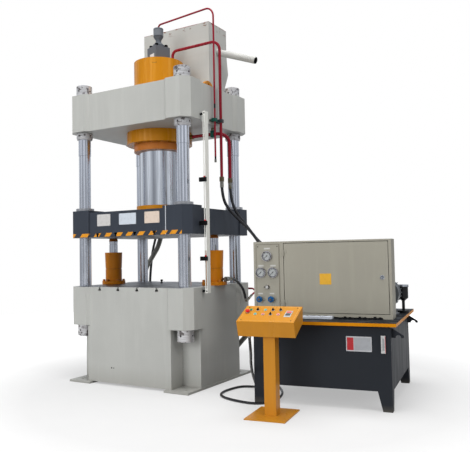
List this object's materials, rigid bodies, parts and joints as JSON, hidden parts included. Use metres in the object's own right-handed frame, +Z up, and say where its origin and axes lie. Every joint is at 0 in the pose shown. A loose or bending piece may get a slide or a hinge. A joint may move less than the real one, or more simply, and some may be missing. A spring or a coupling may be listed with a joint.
{
  "type": "four column hydraulic press",
  "caption": "Four-column hydraulic press with a moving slide, a cabinet-topped oil tank as its power unit and a pedestal control console, joined by hoses and a cable.",
  "frame": {"origin": "centre of the press's four anchor holes, at the floor", "axes": "+X to the press's right, towards its power unit, +Y to its rear, +Z up"},
  "size_m": [3.7712, 2.1273, 4.134],
  "materials": {
    "press_paint": "satin paint, dusty",
    "slide_paint": "satin dark paint",
    "steel": "machined",
    "orange_paint": "satin paint",
    "grey_castings": "satin paint",
    "red_pipe": "gloss paint",
    "green_plastic": "moulded",
    "black_rubber": "matte",
    "grey_rubber": "matte",
    "switch_plastic": "moulded",
    "cabinet_paint": "satin paint",
    "tank_paint": "satin paint",
    "glass": "clear",
    "gauge_steel": "polished",
    "blue_plastic": "moulded",
    "machine_paint": "satin paint",
    "pump_iron": "cast",
    "manifold_steel": "machined",
    "red_button": "moulded",
    "green_button": "moulded",
    "teal_button": "moulded",
    "pink_button": "moulded",
    "black_plastic": "moulded"
  },
  "bodies": {
    "frame": {"bed": "press_paint", "buffer_barrels": "orange_paint", "buffer_pipe": "red_pipe", "cabinet": "cabinet_paint", "cap_screws": "orange_paint", "column_nuts": "steel", "columns": "steel", "console_box": "orange_paint", "console_cable": "black_rubber", "console_stand": "orange_paint", "crown": "press_paint", "cylinder_gland": "orange_paint", "hose_buffer": "black_rubber", "hose_lower": "black_rubber", "hose_rear": "black_rubber", "hose_upper": "black_rubber", "level_gauge": "glass", "lifting_lugs": "orange_paint", "lower_port_pipe": "red_pipe", "main_cylinder": "orange_paint", "motor": "machine_paint", "oil_tank": "tank_paint", "pilot_pipe": "red_pipe", "pipe_clamps": "green_plastic", "pipe_fittings": "steel", "prefill_tank": "press_paint", "prefill_valve": "steel", "pressure_gauges": "gauge_steel", "pump": "pump_iron", "return_filter": "grey_castings", "return_hose": "grey_rubber", "switch_rail": "steel", "tank_lid": "orange_paint", "upper_port_pipe": "red_pipe", "valve_manifold": "manifold_steel"},
    "buffer_rod_left": {"buffer_rod_left": "steel"},
    "buffer_rod_right": {"buffer_rod_right": "steel"},
    "slide_assembly": {"slide": "slide_paint", "main_ram": "steel", "ram_flange": "orange_paint", "guide_bushes": "steel", "striker_pads": "steel"},
    "cabinet_door": {"cabinet_door": "cabinet_paint"},
    "door_lock": {"door_lock": "gauge_steel"},
    "handwheel_left": {"handwheel_left": "blue_plastic"},
    "handwheel_right": {"handwheel_right": "blue_plastic"},
    "gauge_valve_knob": {"gauge_valve_knob": "blue_plastic"},
    "switch_upper": {"switch_upper": "switch_plastic"},
    "switch_middle": {"switch_middle": "switch_plastic"},
    "switch_lower": {"switch_lower": "switch_plastic"},
    "emergency_stop": {"emergency_stop": "red_button"},
    "button_green": {"button_green": "green_button"},
    "button_1": {"button_1": "teal_button"},
    "button_2": {"button_2": "teal_button"},
    "button_3": {"button_3": "pink_button"},
    "button_4": {"button_4": "pink_button"},
    "selector_1": {"selector_1": "black_plastic"},
    "selector_2": {"selector_2": "black_plastic"},
    "selector_3": {"selector_3": "black_plastic"},
    "selector_4": {"selector_4": "black_plastic"}
  },
  "joints": [
    {"name": "buffer_press", "type": "slide", "parent": "frame", "child": "buffer_rod_left", "axis": [0, 0, 1], "range_m": [-0.12, 0]},
    {"name": "buffer_press_right", "type": "slide", "parent": "frame", "child": "buffer_rod_right", "axis": [0, 0, 1], "range_m": [-0.12, 0]},
    {"name": "slide_lift", "type": "slide", "parent": "buffer_rod_left", "child": "slide_assembly", "axis": [0, 0, 1], "range_m": [0, 0.55]},
    {"name": "door_swing", "type": "hinge", "parent": "frame", "child": "cabinet_door", "pos_m": [1.69389, -0.29113, 1.143], "axis": [0, 0, -1], "range_deg": [0, 55]},
    {"name": "lock_turn", "type": "hinge", "parent": "cabinet_door", "child": "door_lock", "pos_m": [2.62166, -0.16346, 1.145], "axis": [-0.1406, 0.9901, 0], "range_deg": [0, 90]},
    {"name": "wheel_left_turn", "type": "hinge", "parent": "frame", "child": "handwheel_left", "pos_m": [1.45225, -0.3214, 0.937], "axis": [0.1406, -0.9901, 0], "range_deg": [0, 540]},
    {"name": "wheel_right_turn", "type": "hinge", "parent": "frame", "child": "handwheel_right", "pos_m": [1.57006, -0.30467, 0.937], "axis": [0.1406, -0.9901, 0], "range_deg": [0, 540]},
    {"name": "gauge_valve_turn", "type": "hinge", "parent": "frame", "child": "gauge_valve_knob", "pos_m": [1.52749, -0.31071, 1.055], "axis": [0.1406, -0.9901, 0], "range_deg": [-150, 150]},
    {"name": "switch_upper_shift", "type": "slide", "parent": "frame", "child": "switch_upper", "axis": [0, 0, 1], "range_m": [-0.15, 0.5]},
    {"name": "switch_middle_shift", "type": "slide", "parent": "frame", "child": "switch_middle", "axis": [0, 0, 1], "range_m": [-0.15, 0.15]},
    {"name": "switch_lower_shift", "type": "slide", "parent": "frame", "child": "switch_lower", "axis": [0, 0, 1], "range_m": [-0.25, 0.15]},
    {"name": "emergency_stop_press", "type": "slide", "parent": "frame", "child": "emergency_stop", "axis": [-0.0515, 0.3631, -0.9303], "range_m": [0, 0.005], "stiffness_N_per_m": 800, "springref_m": -0.001},
    {"name": "button_green_press", "type": "slide", "parent": "frame", "child": "button_green", "axis": [-0.0515, 0.3631, -0.9303], "range_m": [0, 0.004], "stiffness_N_per_m": 800, "springref_m": -0.001},
    {"name": "button_1_press", "type": "slide", "parent": "frame", "child": "button_1", "axis": [-0.0515, 0.3631, -0.9303], "range_m": [0, 0.004], "stiffness_N_per_m": 800, "springref_m": -0.001},
    {"name": "button_2_press", "type": "slide", "parent": "frame", "child": "button_2", "axis": [-0.0515, 0.3631, -0.9303], "range_m": [0, 0.004], "stiffness_N_per_m": 800, "springref_m": -0.001},
    {"name": "button_3_press", "type": "slide", "parent": "frame", "child": "button_3", "axis": [-0.0515, 0.3631, -0.9303], "range_m": [0, 0.004], "stiffness_N_per_m": 800, "springref_m": -0.001},
    {"name": "button_4_press", "type": "slide", "parent": "frame", "child": "button_4", "axis": [-0.0515, 0.3631, -0.9303], "range_m": [0, 0.004], "stiffness_N_per_m": 800, "springref_m": -0.001},
    {"name": "selector_1_turn", "type": "hinge", "parent": "frame", "child": "selector_1", "pos_m": [1.72155, -0.88247, 0.88544], "axis": [0.0515, -0.3631, 0.9303], "range_deg": [-45, 45]},
    {"name": "selector_2_turn", "type": "hinge", "parent": "frame", "child": "selector_2", "pos_m": [1.86016, -0.86279, 0.88544], "axis": [0.0515, -0.3631, 0.9303], "range_deg": [-45, 45]},
    {"name": "selector_3_turn", "type": "hinge", "parent": "frame", "child": "selector_3", "pos_m": [1.92946, -0.85295, 0.88544], "axis": [0.0515, -0.3631, 0.9303], "range_deg": [-45, 45]},
    {"name": "selector_4_turn", "type": "hinge", "parent": "frame", "child": "selector_4", "pos_m": [1.87056, -0.93605, 0.85627], "axis": [0.0515, -0.3631, 0.9303], "range_deg": [-45, 45]}
  ],
  "couplings": [
    {"joint": "buffer_press_right", "follows": "buffer_press", "ratio": 1}
  ]
}
